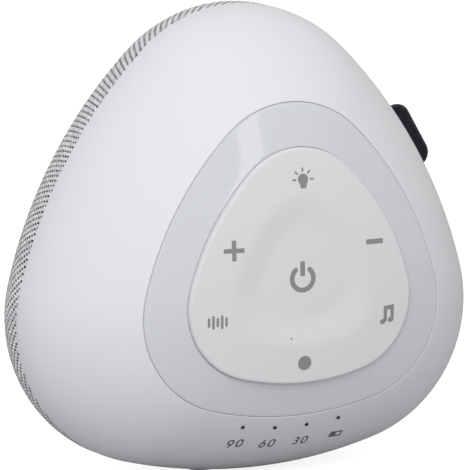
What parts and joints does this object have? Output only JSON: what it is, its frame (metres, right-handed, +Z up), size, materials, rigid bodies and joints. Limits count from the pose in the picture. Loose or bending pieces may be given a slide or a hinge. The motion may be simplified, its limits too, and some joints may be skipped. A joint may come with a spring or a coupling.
{
  "type": "white noise sound machine",
  "caption": "Palm-sized bedside sound machine: rounded triangular body with a glowing ring, soft front keys, fabric back hiding a loudspeaker, and a tape hang loop.",
  "frame": {"origin": "middle of the foot pad's underside width, below the centre of the body outline, at the depth of its widest section", "axes": "+X to the right seen from the front, +Y from front to back, +Z up; the front faces -Y"},
  "size_m": [0.1038, 0.0566, 0.1016],
  "materials": {
    "shell_white": "satin",
    "ring_plastic": "glossy, translucent",
    "keypad_silicone": "matt silicone",
    "inner_white": "satin",
    "inner_black": "satin",
    "board_green": "satin solder mask",
    "board_white": "satin solder mask",
    "lamp_yellow": "satin",
    "light_pipe": "satin",
    "fabric_grey": "woven",
    "tape_black": "woven",
    "steel_zinc": "zinc plated",
    "magnet_ferrite": "dull",
    "copper_winding": "enamelled wire",
    "cone_paper": "pressed fibre",
    "surround_foam": "matt",
    "spider_cloth": "treated cloth",
    "foam_grey": "closed-cell foam",
    "cell_wrap": "shrink film",
    "port_steel": "nickel plated",
    "foot_rubber": "matt",
    "lead_red": "satin",
    "lead_black": "satin"
  },
  "bodies": {
    "body": {"front_shell": "shell_white", "light_ring": "ring_plastic", "keypad_skin": "keypad_silicone", "switch_housings": "inner_black", "key_board": "board_green", "microphone": "steel_zinc", "chassis": "inner_white", "ring_board": "board_white", "ring_lamps": "lamp_yellow", "indicator_board": "board_green", "indicator_lamps": "lamp_yellow", "indicator_pipes": "light_pipe", "main_board": "board_green", "main_board_parts": "inner_black", "board_header": "inner_black", "back_case": "shell_white", "back_fabric": "fabric_grey", "hang_loop": "tape_black", "loop_bar": "inner_black", "speaker_gasket": "foam_grey", "speaker_basket": "steel_zinc", "speaker_terminal": "inner_black", "speaker_top_plate": "steel_zinc", "speaker_magnet": "magnet_ferrite", "speaker_yoke": "steel_zinc", "speaker_surround": "surround_foam", "spider": "spider_cloth", "battery_cell": "cell_wrap", "battery_cradle": "inner_white", "battery_guard_board": "board_green", "battery_tabs": "steel_zinc", "charge_port": "port_steel", "port_board": "board_green", "port_bezel": "inner_black", "foot_pad": "foot_rubber", "case_screws": "steel_zinc", "chassis_screws": "steel_zinc", "main_board_screws": "steel_zinc", "speaker_screws": "steel_zinc", "speaker_leads": "lead_black", "battery_leads": "lead_red"},
    "volume_down_key": {"volume_down_key": "keypad_silicone", "volume_down_plunger": "inner_black"},
    "volume_up_key": {"volume_up_key": "keypad_silicone", "volume_up_plunger": "inner_black"},
    "white_noise_key": {"white_noise_key": "keypad_silicone", "white_noise_plunger": "inner_black"},
    "lullaby_key": {"lullaby_key": "keypad_silicone", "lullaby_plunger": "inner_black"},
    "night_light_key": {"night_light_key": "keypad_silicone", "night_light_plunger": "inner_black"},
    "record_key": {"record_key": "keypad_silicone", "record_plunger": "inner_black"},
    "power_key": {"power_key": "keypad_silicone", "power_plunger": "inner_black"},
    "speaker_cone": {"voice_coil": "copper_winding", "speaker_cone": "cone_paper", "dust_cap": "cone_paper"}
  },
  "joints": [
    {"name": "volume_down_press", "type": "slide", "parent": "body", "child": "volume_down_key", "axis": [0, 1, 0], "range_m": [0, 0.0004], "stiffness_N_per_m": 2500},
    {"name": "volume_up_press", "type": "slide", "parent": "body", "child": "volume_up_key", "axis": [0, 1, 0], "range_m": [0, 0.0004], "stiffness_N_per_m": 2500},
    {"name": "white_noise_press", "type": "slide", "parent": "body", "child": "white_noise_key", "axis": [0, 1, 0], "range_m": [0, 0.0004], "stiffness_N_per_m": 2500},
    {"name": "lullaby_press", "type": "slide", "parent": "body", "child": "lullaby_key", "axis": [0, 1, 0], "range_m": [0, 0.0004], "stiffness_N_per_m": 2500},
    {"name": "night_light_press", "type": "slide", "parent": "body", "child": "night_light_key", "axis": [0, 1, 0], "range_m": [0, 0.0004], "stiffness_N_per_m": 2500},
    {"name": "record_press", "type": "slide", "parent": "body", "child": "record_key", "axis": [0, 1, 0], "range_m": [0, 0.0004], "stiffness_N_per_m": 2500},
    {"name": "power_press", "type": "slide", "parent": "body", "child": "power_key", "axis": [0, 1, 0], "range_m": [0, 0.0004], "stiffness_N_per_m": 2500},
    {"name": "cone_stroke", "type": "slide", "parent": "body", "child": "speaker_cone", "axis": [0, 1, 0], "range_m": [-0.001, 0.001], "stiffness_N_per_m": 2000, "deforming": ["speaker_surround", "spider"]}
  ]
}
